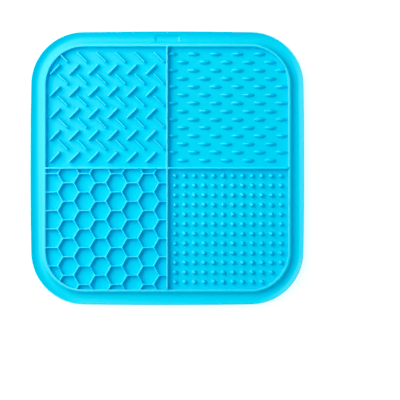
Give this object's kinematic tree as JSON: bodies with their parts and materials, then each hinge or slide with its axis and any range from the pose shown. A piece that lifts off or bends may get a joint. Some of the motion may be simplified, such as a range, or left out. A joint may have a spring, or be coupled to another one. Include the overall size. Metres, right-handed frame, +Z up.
{
  "type": "lick mat",
  "caption": "Flat square silicone lick mat: a lipped panel with a gutter and bead, divided into fields of raised bars, grains, honeycomb walls and pegs that hold soft pet food.",
  "frame": {"origin": "middle of the flat underside, on the surface that the mat lies on", "axes": "+Z up out of the relief, +Y towards the edge with the blank label recess, +X to the right seen from above"},
  "size_m": [0.2, 0.2, 0.0064],
  "materials": {
    "silicone": "matte"
  },
  "bodies": {
    "root": {"mat": "silicone"}
  },
  "joints": []
}
